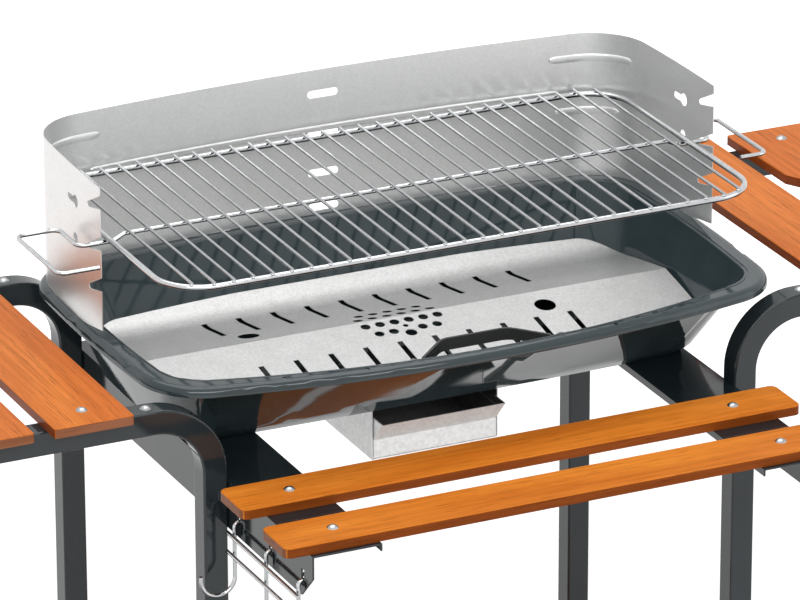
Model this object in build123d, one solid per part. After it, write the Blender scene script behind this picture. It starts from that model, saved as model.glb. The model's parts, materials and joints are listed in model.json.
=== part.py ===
from build123d import *
import os
from math import hypot, sqrt

# A charcoal grill on a square tube trolley. +X is the right end of the fire bowl, -Y the front, +Z up,
# and Z = 0 is the floor. Sizes are in millimetres. Y = 0 is midway between the front and rear legs until
# the finished pieces are moved so that the whole grill is centred on the origin.

# Heights
RIM_Z = 800.0            # top of the bowl's rim
ARM_DROP = 12.0          # from the rim down to the tops of the arms
LOWER_Z = 230.0          # tops of the lower rails

# Legs
TUBE = 25.0
TUBE_WALL = 1.5
TUBE_ROUND = 2.2
LEG_X = 290.0
LEG_Y = 183.0
BEND_R = 62.0
ARM_END_X = 572.0

# Fire bowl
BOWL_X = 345.0           # half length over the rim
BOWL_FRONT = 225.0
BOWL_REAR = 196.0
BOWL_DEPTH = 98.0
SIDE_BOW = 8.0           # how far each edge of the rim bows out
FRONT_BOW = 43.0
REAR_BOW = 20.0
CORNER_R = 70.0
FLANGE = 22.0            # width of the rim, which narrows to the next value in the middle of the front
FLANGE_FRONT = 12.0
SKIRT = 10.0
RIM_ROUND = 8.0
RIM_LIP = 2.0            # from the inner edge of the rim to the groove beside it
GROOVE_W = 1.5
GROOVE_DEPTH = 0.7
BOWL_SHEET = 1.5
FLOOR_X = 292.0          # where the walls turn into the floor
FLOOR_FRONT = 112.0
FLOOR_REAR = 116.0
FLOOR_SIDE_BOW = 4.0
FLOOR_FRONT_BOW = 4.0
FLOOR_REAR_BOW = 5.0
FLOOR_R = 42.0
TURN_IN = 14.0
TURN_DROP = 10.5
ASH_HOLE_X = 108.0
ASH_HOLE_Y = 96.0
RIM_HOLE_R = 2.5
RIM_HOLE_XS = (135.0, 217.0)

# Bow handle inside the front wall of the bowl
HANDLE_X = 80.0
HANDLE_T = 3.0
HANDLE_H = 13.0
HANDLE_TAPER = 3.0       # how much the strip's top falls from the grip to each foot
HANDLE_DROP = 1.5
HANDLE_REACH = 29.5
HANDLE_GRIP_X = 36.0
FOOT_W = 20.0
RIVET_R = 2.0
RIVET_HEAD_R = 4.5
RIVET_HEAD_H = 2.2

# Wind screen
SCREEN_INSET = 7.5
SCREEN_T = 1.0
SCREEN_H = 158.0
SCREEN_FRONT_Y = -30.0
SCREEN_LIFT = 8.0        # how far the lower edge of each wing rises to its front corner
SCREEN_LIFT_Y = 18.0
TAB_W = 14.0
TAB_DEPTH = 6.0
TAB_GAP = 0.3
TAB_WING_YS = (34.0, 98.0)
TAB_BACK_X = 150.0
NOTCH_PITCH = 43.0
NOTCH_MOUTH = 15.0
NOTCH_RISE = 0.364       # rise of a notch for each millimetre forward
BACK_SLOT_L = 34.0
BACK_SLOT_W = 8.0
KEYHOLE_R = 6.5
KEYHOLE_Y = 34.0
KEYHOLE_Z = 922.0
KEYHOLE_L = 24.0
KEYHOLE_W = 7.0
PEG_HOLE_R = 5.5
PEG_HOLE_Y = 35.0
PEG_HOLE_Z = 883.0

# Cooking grid
GRID_Z = 888.5           # middle of the cross rod, in the middle notch
GRID_Y = -1.0
GRID_X = 319.0
GRID_DEPTH = 166.0
GRID_R = 48.0
FRAME_WIRE_R = 3.0
BAR_WIRE_R = 1.6
BAR_COUNT = 30
BAR_PITCH = 20.5
BAR_OVER = 2.0           # how far the bars run past the middle of the frame's wire
ROD_R = 2.25
ROD_GAP = 0.5
JOG_OUT_X = 312.0        # the cross rod steps up between these, inside the frame
JOG_IN_X = 300.0
JOG_R = 8.0
LEFT_LOOP_X = 394.0
RIGHT_LOOP_X = 382.0
LOOP_IN_X = 349.0
LOOP_BACK = 52.0
LOOP_FRONT = 60.0
LOOP_END_X = 352.0
LOOP_R = 9.0

# Charcoal plate
PLATE_T = 1.0
PLATE_RIDGE_Y = 1.0
PLATE_RIDGE_DROP = 46.0
PLATE_VALLEY_DROP = 64.0
PLATE_VALLEY = 102.0
PLATE_EDGE_DROP = 47.0
PLATE_EDGE = 130.0
PLATE_VALLEY_R = 50.0
PLATE_GAP = 0.4
SLOT_COUNT = 10
SLOT_PITCH = 38.0
SLOT_W = 6.0
SLOT_L = 54.0
SLOT_START = 44.3
VENT_R = 5.0
VENT_PITCH = 16.0
VENT_ROWS = ((9.2, 6), (25.4, 5))
PILOT_R = 2.8            # small and large hole in place of the middle vent of the front
PILOT_Y = 18.8
FINGER_R = 6.0
FINGER_Y = 32.4
LIFT_R = 11.0
LIFT_X = 152.8
LIFT_Y = 26.4
PUNCH_X = -3.2           # the punched holes sit a little off the middle

# Support bars
BAR_W = 73.0
BAR_T = 2.0
BAR_FLANGE = 50.0
BAR_LIP = 8.0
BAR_CHAMFER = 26.0
BAR_PAST = 5.0           # how far the bars run past the front shelf

# Planks
PLANK_T = 10.0
PLANK_R = 8.0
SIDE_R = 3.0
PLANK_EDGE = 0.8
FRONT_LEN = 606.0
FRONT_W = 58.0
FRONT_GAP = 42.0
FRONT_Y = -231.0         # rear edge of the front shelf
SIDE_LEN = 432.0
SIDE_X = 382.0           # inner edge of each side shelf
SIDE_IN_W = 82.0
SIDE_OUT_W = 97.5
SIDE_GAP = 20.5
HOLD_LEN = 168.0         # hand-hold in each outer plank
HOLD_END = 68.0
HOLD_DEPTH = 28.0
LOWER_W = 85.0
LOWER_PITCH = 110.0

# Ash box and drawer
BOX_W = 140.0
BOX_H = 62.0
BOX_FRONT_Y = -80.0
BOX_REAR_Y = 62.0
BOX_T = 1.2
BOX_LIP = 16.0
DRAWER_GAP = 0.6
DRAWER_SIDE = 34.0
DRAWER_FLARE_Z = 20.0    # height of the drawer's front below its flare
DRAWER_FLARE = 22.0
DRAWER_FLARE_H = 24.0

# Hook rack
RACK_WIRE_R = 2.0
HOOK_YS = (-221.0, -296.0, -371.0)
HOOK_DROP = 33.0         # from the bar's top down to the hooks' pins
HOOK_PIN = 6.5           # from the bar's outer face in to the pins
HOOK_OUT = 4.5
HOOK_PIN_L = 12.0
HOOK_LEN = 74.0
HOOK_W = 36.0
HOOK_TIP = 23.0
RACK_ROD_DROPS = (13.0, 33.0)
RACK_OVERHANG = 9.0
HOOK_SLOT_W = 6.0
HOOK_SLOT_UP = 11.0
HOOK_SEAT_GAP = 0.3

# Screws and bolts
SCREW_R = 2.5
SCREW_HEAD_R = 5.8
SCREW_HEAD_H = 3.0
SCREW_REACH = 8.0        # thread below what the screw holds
BOLT_R = 3.0
BOLT_HEAD_R = 6.0
BOLT_HEAD_H = 3.5
BOLT_DROPS = (14.0, 36.0)
HOLE_GAP = 0.1
ARM_SCREW_X = 357.0
BOWL_SCREW_IN = 20.0     # from the inner edge of the support bar
BOWL_SCREW_Y = 40.0

# Plugs and feet
PLUG_T = 3.0
PLUG_IN = 14.0
PLUG_GAP = 0.1
FOOT_WALL = 3.0
FOOT_H = 28.0
FOOT_SOLE = 5.0

# Axle and wheels
WHEEL_R = 75.0
TYRE_T = 12.0
TYRE_W = 30.0
WHEEL_W = 28.0
WHEEL_RIM_T = 9.0
WEB_T = 6.0
WEB_HOLE_R = 10.0
WEB_HOLES = 5
HUB_R = 15.0
HUB_W = 36.0
AXLE_R = 5.0
RUN_GAP = 0.05           # between the axle and the wheels' bores
SIDE_PLAY = 0.5
LEG_BELOW_AXLE = 22.0
CAP_R = 10.0
CAP_T = 8.0
CAP_GRIP = 6.0

# Values that follow from the sizes above
FLOOR_Z = RIM_Z - BOWL_DEPTH
WALL_DEPTH = BOWL_DEPTH - TURN_DROP
WALL_T = 1.5 * BOWL_SHEET
WALL_FRONT_BOW = FRONT_BOW + FLANGE - FLANGE_FRONT
ARM_Z = RIM_Z - ARM_DROP - TUBE / 2
BAR_OUT_X = LEG_X - TUBE / 2
BAR_MID_X = BAR_OUT_X - BAR_W / 2
BOWL_SCREW_X = BAR_OUT_X - BAR_W + BOWL_SCREW_IN
FRONT_END_Y = FRONT_Y - 2 * FRONT_W - FRONT_GAP
BAR_FRONT_Y = FRONT_END_Y - BAR_PAST
BAR_REAR_Y = LEG_Y + TUBE / 2
SIDE_OUT_X = SIDE_X + SIDE_IN_W + SIDE_GAP
SHELF_TOP_Z = RIM_Z - ARM_DROP + PLANK_T
HUB_Y = LEG_Y + TUBE / 2 + SIDE_PLAY + HUB_W / 2
CAP_Y = HUB_Y + HUB_W / 2 + SIDE_PLAY
CAP_END_Y = CAP_Y + CAP_T
FRAME_Z = GRID_Z + ROD_R + FRAME_WIRE_R
BAR_WIRE_Z = FRAME_Z + FRAME_WIRE_R + BAR_WIRE_R
ROD_MID_Z = BAR_WIRE_Z - BAR_WIRE_R - ROD_R
MID_Y = -(BAR_FRONT_Y + CAP_END_Y) / 2
LEG_PLACES = {"front_left": (-1, -1), "front_right": (1, -1), "rear_left": (-1, 1), "rear_right": (1, 1)}


def save(name, shape):
    """Write one piece, moved so that the grill is centred over the origin."""
    export_step(Pos(0, MID_Y, 0) * shape, f"parts/{name}.step")


def block(x0, x1, y0, y1, z0, z1):
    """A box between two corners."""
    middle = Pos((x0 + x1) / 2, (y0 + y1) / 2, (z0 + z1) / 2)
    return middle * Box(abs(x1 - x0), abs(y1 - y0), abs(z1 - z0))


def rod_x(x0, x1, y, z, radius):
    """A round rod along X."""
    return Pos((x0 + x1) / 2, y, z) * Rot(0, 90, 0) * Cylinder(radius, abs(x1 - x0))


def rod_y(x, y0, y1, z, radius):
    """A round rod along Y."""
    return Pos(x, (y0 + y1) / 2, z) * Rot(90, 0, 0) * Cylinder(radius, abs(y1 - y0))


def rod_z(x, y, z0, z1, radius):
    """A round rod along Z."""
    return Pos(x, y, (z0 + z1) / 2) * Cylinder(radius, abs(z1 - z0))


def bent_wire(points, radius, bends):
    """A round wire through points, bent with the given radii."""
    path = FilletPolyline(*points, radius=bends)
    section = Plane(origin=path @ 0, z_dir=path % 0) * Circle(radius)
    return sweep(section, path=path)


def dome(radius, height):
    """The domed head of a screw, standing on Z = 0."""
    ball = (radius**2 + height**2) / (2 * height)
    return Pos(0, 0, height - ball) * Sphere(ball) & Pos(0, 0, height / 2) * Cylinder(radius, height)


def plate_screw(x, y, top, length):
    """A domed screw that points down from a surface at the height top."""
    return Pos(x, y, top) * dome(SCREW_HEAD_R, SCREW_HEAD_H) + rod_z(x, y, top - length, top, SCREW_R)


def outline(half_x, front, rear, side_bow, front_bow, rear_bow, corner):
    """A rounded rectangle with bowed edges."""
    x = half_x - side_bow
    y0 = -front + front_bow
    y1 = rear - rear_bow
    middle = (y0 + y1) / 2
    edges = [
        ThreePointArc((-x, y0), (0, -front), (x, y0)),
        ThreePointArc((x, y0), (half_x, middle), (x, y1)),
        ThreePointArc((x, y1), (0, rear), (-x, y1)),
        ThreePointArc((-x, y1), (-half_x, middle), (-x, y0)),
    ]
    face = make_face(edges)
    return fillet(face.vertices(), corner)


def rim_outline(inset):
    """The bowl's rim from above, drawn in by inset."""
    return outline(
        BOWL_X - inset, BOWL_FRONT - inset, BOWL_REAR - inset, SIDE_BOW, FRONT_BOW, REAR_BOW, CORNER_R - inset
    )


def at_depth(top, bottom, depth):
    """A size of the bowl's wall at a depth below the rim."""
    return top + (bottom - top) * depth / WALL_DEPTH


def wall_outline(depth, inset):
    """The inside of the bowl's wall at a depth below the rim, drawn in by inset."""
    return outline(
        at_depth(BOWL_X - FLANGE, FLOOR_X, depth) - inset,
        at_depth(BOWL_FRONT - FLANGE_FRONT, FLOOR_FRONT, depth) - inset,
        at_depth(BOWL_REAR - FLANGE, FLOOR_REAR, depth) - inset,
        at_depth(SIDE_BOW, FLOOR_SIDE_BOW, depth),
        at_depth(WALL_FRONT_BOW, FLOOR_FRONT_BOW, depth),
        at_depth(REAR_BOW, FLOOR_REAR_BOW, depth),
        at_depth(CORNER_R - FLANGE, FLOOR_R, depth) - inset,
    )


def bowl_body(inset, floor_z):
    """The solid that fills the bowl down to floor_z, its walls drawn in by inset."""
    sections = [
        Pos(0, 0, RIM_Z) * wall_outline(0, inset),
        Pos(0, 0, RIM_Z - WALL_DEPTH) * wall_outline(WALL_DEPTH, inset),
        Pos(0, 0, floor_z) * wall_outline(WALL_DEPTH, inset + TURN_IN),
    ]
    return loft(sections, ruled=True)


def arc_radius(bow, half_x):
    """The radius of an edge that bows by bow between -half_x and half_x."""
    return (half_x**2 + bow**2) / (2 * bow)


def front_arc(front, bow, half_x, x):
    """How far forward an edge that bows by bow stands at x."""
    radius = arc_radius(bow, half_x)
    return front - radius + sqrt(radius**2 - x**2)


os.makedirs("parts", exist_ok=True)

# Legs: square tube bent outward at the top into an arm under the side shelf. The left legs end above the
# floor and hold the axle, the right legs stand in foot caps.
arm_screw_places = []
plank_screws = []
frame_bolts = []
arm_plugs = []
for name, (sx, sy) in LEG_PLACES.items():
    x = sx * LEG_X
    y = sy * LEG_Y
    end_z = WHEEL_R - LEG_BELOW_AXLE if sx < 0 else FOOT_SOLE
    path = FilletPolyline((x, y, end_z), (x, y, ARM_Z), (sx * ARM_END_X, y, ARM_Z), radius=BEND_R)
    hollow = TUBE - 2 * TUBE_WALL
    start = Plane(origin=(x, y, end_z), x_dir=(1, 0, 0), z_dir=(0, 0, 1))
    leg = sweep(start * RectangleRounded(TUBE, TUBE, TUBE_ROUND), path=path)
    leg -= sweep(start * RectangleRounded(hollow, hollow, TUBE_ROUND - TUBE_WALL), path=path)

    # Bolts run through the flange of the support bar into the inner wall of the leg.
    for drop in BOLT_DROPS:
        z = FLOOR_Z - drop
        under_head = sx * (BAR_OUT_X - BAR_T)
        wall_in = sx * (BAR_OUT_X + TUBE_WALL)
        leg -= rod_x(sx * BAR_OUT_X, wall_in, y, z, BOLT_R + HOLE_GAP)
        shank = rod_x(under_head, wall_in + sx * SCREW_REACH, y, z, BOLT_R)
        head = Pos(under_head, y, z) * Rot(0, -90 * sx, 0) * dome(BOLT_HEAD_R, BOLT_HEAD_H)
        frame_bolts.append((shank + head).solid())

    # Screws hold the side planks on the arm, and one more sits bare on the arm beside the bowl.
    arm_top = ARM_Z + TUBE / 2
    plank_xs = (SIDE_X + SIDE_IN_W / 2, SIDE_OUT_X + SIDE_OUT_W / 2)
    for screw_x in (*plank_xs, ARM_SCREW_X):
        leg -= rod_z(sx * screw_x, y, ARM_Z, arm_top, SCREW_R + HOLE_GAP)
    for screw_x in plank_xs:
        plank_screws.append(plate_screw(sx * screw_x, y, SHELF_TOP_Z, PLANK_T + SCREW_REACH).solid())
    arm_screw_places.append(plate_screw(sx * ARM_SCREW_X, y, arm_top, SCREW_REACH).solid())

    if sx < 0:
        leg -= rod_y(x, y - TUBE, y + TUBE, WHEEL_R, AXLE_R + HOLE_GAP)
    save(f"leg_{name}", leg)

    # A plug closes the open end of the arm.
    insert = hollow - 2 * PLUG_GAP
    end = Pos(sx * ARM_END_X, y, ARM_Z) * Rot(0, 90 * sx, 0)
    plug = extrude(RectangleRounded(TUBE, TUBE, TUBE_ROUND), PLUG_T)
    plug += Pos(0, 0, -PLUG_IN) * extrude(RectangleRounded(insert, insert, TUBE_ROUND - TUBE_WALL), PLUG_IN)
    arm_plugs.append((end * plug).solid())

save("frame_bolts", Compound(frame_bolts))
save("arm_screws", Compound(arm_screw_places))
save("arm_plugs", Compound(arm_plugs))

# Feet: cups under the right legs, and plugs in the ends of the left legs.
foot_caps = []
leg_plugs = []
for sy in (-1, 1):
    outer = TUBE + 2 * FOOT_WALL
    cup = extrude(RectangleRounded(outer, outer, TUBE_ROUND + FOOT_WALL), FOOT_H)
    inside = TUBE + 2 * PLUG_GAP
    cup -= Pos(0, 0, FOOT_SOLE) * extrude(RectangleRounded(inside, inside, TUBE_ROUND), FOOT_H)
    foot_caps.append((Pos(LEG_X, sy * LEG_Y, 0) * cup).solid())
    insert = TUBE - 2 * TUBE_WALL - 2 * PLUG_GAP
    plug = extrude(RectangleRounded(TUBE, TUBE, TUBE_ROUND), -PLUG_T)
    plug += extrude(RectangleRounded(insert, insert, TUBE_ROUND - TUBE_WALL), PLUG_IN)
    leg_plugs.append((Pos(-LEG_X, sy * LEG_Y, WHEEL_R - LEG_BELOW_AXLE) * plug).solid())
save("foot_caps", Compound(foot_caps))
save("leg_plugs", Compound(leg_plugs))

# Support bars: folded sheet under the bowl, bolted to the legs and running forward to the front shelf.
front_ys = (FRONT_Y - FRONT_W / 2, FRONT_Y - FRONT_W - FRONT_GAP - FRONT_W / 2)
hook_z = FLOOR_Z - HOOK_DROP
for name, sx in (("left", -1), ("right", 1)):
    outer = sx * BAR_OUT_X
    inner = sx * (BAR_OUT_X - BAR_W)
    bar = block(inner, outer, BAR_FRONT_Y, BAR_REAR_Y, FLOOR_Z - BAR_T, FLOOR_Z)
    flange = block(outer - sx * BAR_T, outer, BAR_FRONT_Y, BAR_REAR_Y, FLOOR_Z - BAR_FLANGE, FLOOR_Z)
    corner = flange.edges().filter_by(Axis.X).group_by(Axis.Z)[0].sort_by(Axis.Y)[0]
    bar += chamfer(corner, BAR_CHAMFER)
    bar += block(inner, inner + sx * BAR_T, BAR_FRONT_Y, BAR_REAR_Y, FLOOR_Z - BAR_LIP, FLOOR_Z)
    for sy in (-1, 1):
        for drop in BOLT_DROPS:
            bar -= rod_x(outer, outer - sx * BAR_T, sy * LEG_Y, FLOOR_Z - drop, BOLT_R + HOLE_GAP)
        bar -= rod_z(sx * BOWL_SCREW_X, sy * BOWL_SCREW_Y, FLOOR_Z - BAR_T, FLOOR_Z, SCREW_R + HOLE_GAP)
    for y in front_ys:
        bar -= rod_z(sx * BAR_MID_X, y, FLOOR_Z - BAR_T, FLOOR_Z, SCREW_R + HOLE_GAP)
        plank_screws.append(
            plate_screw(sx * BAR_MID_X, y, FLOOR_Z + PLANK_T, PLANK_T + SCREW_REACH).solid()
        )
    if sx < 0:
        for y in HOOK_YS:
            bar -= block(
                outer, outer + BAR_T, y - HOOK_SLOT_W / 2, y + HOOK_SLOT_W / 2,
                hook_z - RACK_WIRE_R - HOOK_SEAT_GAP, hook_z + HOOK_SLOT_UP,
            )
    save(f"bar_{name}", bar)


def plank(length, width, corner):
    """A plank along Y with rounded corners and softened edges, its underside at Z = 0."""
    board = extrude(RectangleRounded(width, length, corner), PLANK_T)
    return chamfer(board.edges().group_by(Axis.Z)[-1], PLANK_EDGE)


def drilled(board, places):
    """The board with screw holes at the places."""
    for x, y in places:
        board -= Pos(x, y, PLANK_T / 2) * Cylinder(SCREW_R + HOLE_GAP, 2 * PLANK_T)
    return board


# Front shelf: two planks across the front ends of the support bars.
front_board = Rot(0, 0, 90) * plank(FRONT_LEN, FRONT_W, PLANK_R)
front_board = drilled(front_board, [(-BAR_MID_X, 0), (BAR_MID_X, 0)])
for name, y in zip(("front_plank_back", "front_plank_front"), front_ys):
    save(name, Pos(0, y, FLOOR_Z) * front_board)

# Side shelves: an inner and an outer plank on each pair of arms. The outer plank has a hand-hold.
hold = make_face(
    Polyline(
        (-SIDE_OUT_W, HOLD_LEN / 2), (-SIDE_OUT_W / 2, HOLD_LEN / 2),
        (-SIDE_OUT_W / 2 + HOLD_DEPTH, HOLD_END / 2), (-SIDE_OUT_W / 2 + HOLD_DEPTH, -HOLD_END / 2),
        (-SIDE_OUT_W / 2, -HOLD_LEN / 2), (-SIDE_OUT_W, -HOLD_LEN / 2), close=True,
    )
)
inner_board = drilled(plank(SIDE_LEN, SIDE_IN_W, SIDE_R), [(0, -LEG_Y), (0, LEG_Y)])
outer_board = drilled(plank(SIDE_LEN, SIDE_OUT_W, SIDE_R), [(0, -LEG_Y), (0, LEG_Y)])
outer_board -= extrude(hold, PLANK_T)
for name, turn, sx in (("left", 180, -1), ("right", 0, 1)):
    inner_x = sx * (SIDE_X + SIDE_IN_W / 2)
    outer_x = sx * (SIDE_OUT_X + SIDE_OUT_W / 2)
    save(f"{name}_plank_inner", Pos(inner_x, 0, RIM_Z - ARM_DROP) * Rot(0, 0, turn) * inner_board)
    save(f"{name}_plank_outer", Pos(outer_x, 0, RIM_Z - ARM_DROP) * Rot(0, 0, turn) * outer_board)

# Lower rails between the legs, and three planks across them.
lower_len = 2 * LEG_X + TUBE
lower_board = drilled(Rot(0, 0, 90) * plank(lower_len, LOWER_W, PLANK_R), [(-LEG_X, 0), (LEG_X, 0)])
lower_ys = (-LOWER_PITCH, 0.0, LOWER_PITCH)
rail_end = LEG_Y - TUBE / 2
for name, sx in (("left", -1), ("right", 1)):
    ring = RectangleRounded(TUBE, TUBE, TUBE_ROUND)
    ring -= RectangleRounded(TUBE - 2 * TUBE_WALL, TUBE - 2 * TUBE_WALL, TUBE_ROUND - TUBE_WALL)
    rail = Pos(sx * LEG_X, -rail_end, LOWER_Z - TUBE / 2) * Rot(-90, 0, 0) * extrude(ring, 2 * rail_end)
    for y in lower_ys:
        rail -= rod_z(sx * LEG_X, y, LOWER_Z - TUBE / 2, LOWER_Z, SCREW_R + HOLE_GAP)
        plank_screws.append(
            plate_screw(sx * LEG_X, y, LOWER_Z + PLANK_T, PLANK_T + SCREW_REACH).solid()
        )
    save(f"lower_rail_{name}", rail)
for name, y in zip(("front", "middle", "back"), lower_ys):
    save(f"lower_plank_{name}", Pos(0, y, LOWER_Z) * lower_board)
save("plank_screws", Compound(plank_screws))

# Fire bowl: pressed sheet with sloping walls, a flat floor with an opening for ash, and a broad rim with a
# groove beside its inner edge and a turned-down outer edge.
inside = bowl_body(0, FLOOR_Z + BOWL_SHEET)
rim = Pos(0, 0, RIM_Z - SKIRT) * extrude(rim_outline(0), SKIRT)
rim = fillet(rim.edges().group_by(Axis.Z)[-1], RIM_ROUND)
under = Pos(0, 0, RIM_Z - SKIRT) * extrude(rim_outline(BOWL_SHEET), SKIRT - BOWL_SHEET)
under = fillet(under.edges().group_by(Axis.Z)[-1], RIM_ROUND - BOWL_SHEET)
bowl = bowl_body(-WALL_T, FLOOR_Z) + (rim - under) - inside
groove = wall_outline(0, -RIM_LIP - GROOVE_W) - wall_outline(0, -RIM_LIP)
bowl -= Pos(0, 0, RIM_Z - GROOVE_DEPTH) * extrude(groove, GROOVE_DEPTH)
box_mid_y = (BOX_FRONT_Y + BOX_REAR_Y) / 2
bowl -= Pos(0, box_mid_y, FLOOR_Z) * Box(ASH_HOLE_X, ASH_HOLE_Y, 4 * BOWL_SHEET)
for hole_x in RIM_HOLE_XS:
    outer = front_arc(BOWL_FRONT, FRONT_BOW, BOWL_X - SIDE_BOW, hole_x)
    inner = front_arc(BOWL_FRONT - FLANGE_FRONT, WALL_FRONT_BOW, BOWL_X - FLANGE - SIDE_BOW, hole_x)
    for sx in (-1, 1):
        bowl -= rod_z(sx * hole_x, -(outer + inner) / 2, RIM_Z - SKIRT, RIM_Z, RIM_HOLE_R)

# Screws hold the bowl's floor to the bars.
bowl_screws = []
for sx in (-1, 1):
    for sy in (-1, 1):
        place = (sx * BOWL_SCREW_X, sy * BOWL_SCREW_Y)
        top = FLOOR_Z + BOWL_SHEET
        bowl -= rod_z(*place, FLOOR_Z, top, SCREW_R + HOLE_GAP)
        bowl_screws.append(plate_screw(*place, top, BOWL_SHEET + BAR_T + SCREW_REACH).solid())

# Wind screen: sheet bent into a U that stands on the rim, with tabs through slots in the rim.
screen_ring = rim_outline(SCREEN_INSET) - rim_outline(SCREEN_INSET + SCREEN_T)
slot_ring = rim_outline(SCREEN_INSET - TAB_GAP) - rim_outline(SCREEN_INSET + SCREEN_T + TAB_GAP)
screen = Pos(0, 0, RIM_Z) * extrude(screen_ring, SCREEN_H)
screen &= block(-BOWL_X, BOWL_X, SCREEN_FRONT_Y, BOWL_REAR, RIM_Z, RIM_Z + SCREEN_H)
lift = make_face(
    Polyline(
        (SCREEN_LIFT_Y, RIM_Z), (SCREEN_FRONT_Y, RIM_Z + SCREEN_LIFT), (SCREEN_FRONT_Y, RIM_Z), close=True
    )
)
screen -= extrude(Plane.YZ * lift, BOWL_X, both=True)
tab_strip = Pos(0, 0, RIM_Z - TAB_DEPTH) * extrude(screen_ring, TAB_DEPTH)
slot_strip = Pos(0, 0, RIM_Z - SKIRT) * extrude(slot_ring, SKIRT)
tab_places = [(sx, y) for sx in (-1, 1) for y in TAB_WING_YS]
for sx, y in tab_places:
    reach = sx * BOWL_X / 2
    screen += tab_strip & block(reach, 2 * reach, y - TAB_W / 2, y + TAB_W / 2, 0, RIM_Z)
    gap = TAB_W / 2 + TAB_GAP
    bowl -= slot_strip & block(reach, 2 * reach, y - gap, y + gap, 0, RIM_Z)
for sx in (-1, 1):
    middle = sx * TAB_BACK_X
    screen += tab_strip & block(middle - TAB_W / 2, middle + TAB_W / 2, 0, BOWL_REAR, 0, RIM_Z)
    gap = TAB_W / 2 + TAB_GAP
    bowl -= slot_strip & block(middle - gap, middle + gap, 0, BOWL_REAR, 0, RIM_Z)

# Three notches in the front edge of each wing, wide at the mouth and rising forward.
notch_r = ROD_R + ROD_GAP
run = GRID_Y - SCREEN_FRONT_Y + NOTCH_MOUTH / 2
slope = hypot(1, NOTCH_RISE)
along = (-1 / slope, NOTCH_RISE / slope)
across = (-along[1], along[0])


def notch_point(distance, side):
    """A point of a notch, at a distance from its closed end and to one side of its middle line."""
    return (
        GRID_Y + along[0] * distance + across[0] * side,
        GRID_Z + along[1] * distance + across[1] * side,
    )


notch = make_face(
    Polyline(
        notch_point(0, notch_r), notch_point(run * slope, NOTCH_MOUTH / 2),
        notch_point(run * slope, -NOTCH_MOUTH / 2), notch_point(0, -notch_r), close=True,
    )
)
notch += Pos(GRID_Y, GRID_Z) * Circle(notch_r)
notch_cut = extrude(Plane.YZ * notch, BOWL_X, both=True)
keyhole = Pos(KEYHOLE_Y, KEYHOLE_Z) * Circle(KEYHOLE_R)
keyhole += Pos(KEYHOLE_Y + KEYHOLE_L / 2 - KEYHOLE_W / 2, KEYHOLE_Z) * SlotOverall(KEYHOLE_L, KEYHOLE_W)
keyhole_cut = extrude(Plane.YZ * keyhole, BOWL_X, both=True)
peg_cut = rod_x(-BOWL_X, BOWL_X, PEG_HOLE_Y, PEG_HOLE_Z, PEG_HOLE_R)
back_slot = Rot(90, 0, 0) * extrude(SlotOverall(BACK_SLOT_L, BACK_SLOT_W), BOWL_REAR, both=True)
back_slot &= block(-BACK_SLOT_L, BACK_SLOT_L, 0, BOWL_REAR, -BACK_SLOT_W, BACK_SLOT_W)
for step in (-1, 0, 1):
    screen -= Pos(0, 0, step * NOTCH_PITCH) * notch_cut
    screen -= Pos(0, 0, GRID_Z + step * NOTCH_PITCH) * back_slot
screen -= Pos(0, 0, RIM_Z + BACK_SLOT_W) * back_slot
screen -= keyhole_cut
screen -= peg_cut
save("wind_screen", screen)

# Bow handle: a bent strip whose feet lie on the front wall inside the bowl, each held by a rivet.
wall_top = front_arc(BOWL_FRONT - FLANGE_FRONT, WALL_FRONT_BOW, BOWL_X - FLANGE - SIDE_BOW, HANDLE_X)
wall_foot = front_arc(FLOOR_FRONT, FLOOR_FRONT_BOW, FLOOR_X - FLOOR_SIDE_BOW, HANDLE_X)
wall_run = (wall_top - wall_foot) / WALL_DEPTH
foot_depth = HANDLE_DROP + (HANDLE_H + HANDLE_TAPER) / 2
foot_bow = at_depth(WALL_FRONT_BOW, FLOOR_FRONT_BOW, foot_depth)
foot_half = at_depth(BOWL_X - FLANGE - SIDE_BOW, FLOOR_X - FLOOR_SIDE_BOW, foot_depth)
foot_front = at_depth(BOWL_FRONT - FLANGE_FRONT, FLOOR_FRONT, foot_depth)
strip_y = -front_arc(foot_front, foot_bow, foot_half, HANDLE_X)
grip_y = strip_y + HANDLE_REACH
knee = HANDLE_X - FOOT_W / 2
strip_path = FilletPolyline(
    (-knee, strip_y), (-HANDLE_GRIP_X, grip_y), (HANDLE_GRIP_X, grip_y), (knee, strip_y), radius=7 * HANDLE_T
)
strip = Pos(0, 0, RIM_Z - HANDLE_DROP - HANDLE_H) * extrude(trace(strip_path, HANDLE_T), HANDLE_H)
strip_end = knee + HANDLE_T
strip_side = Polyline(
    (-strip_end, -HANDLE_H), (-strip_end, -HANDLE_TAPER), (-HANDLE_GRIP_X, 0), (HANDLE_GRIP_X, 0),
    (strip_end, -HANDLE_TAPER), (strip_end, -HANDLE_H), close=True,
)
strip &= Pos(0, 0, RIM_Z - HANDLE_DROP) * extrude(Plane.XZ * make_face(strip_side), BOWL_FRONT, both=True)
handle = strip & inside
foot_skin = inside - bowl_body(WALL_T * HANDLE_T / BOWL_SHEET, FLOOR_Z + BOWL_SHEET + HANDLE_T)
handle_rivets = []
for sx in (-1, 1):
    reach = HANDLE_H * wall_run
    handle += foot_skin & block(
        sx * (knee - HANDLE_T), sx * (knee + FOOT_W), strip_y - reach, strip_y + reach,
        RIM_Z - HANDLE_DROP - HANDLE_H, RIM_Z - HANDLE_DROP - HANDLE_TAPER,
    )
tilt = HANDLE_X / sqrt(arc_radius(foot_bow, foot_half) ** 2 - HANDLE_X**2)
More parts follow.
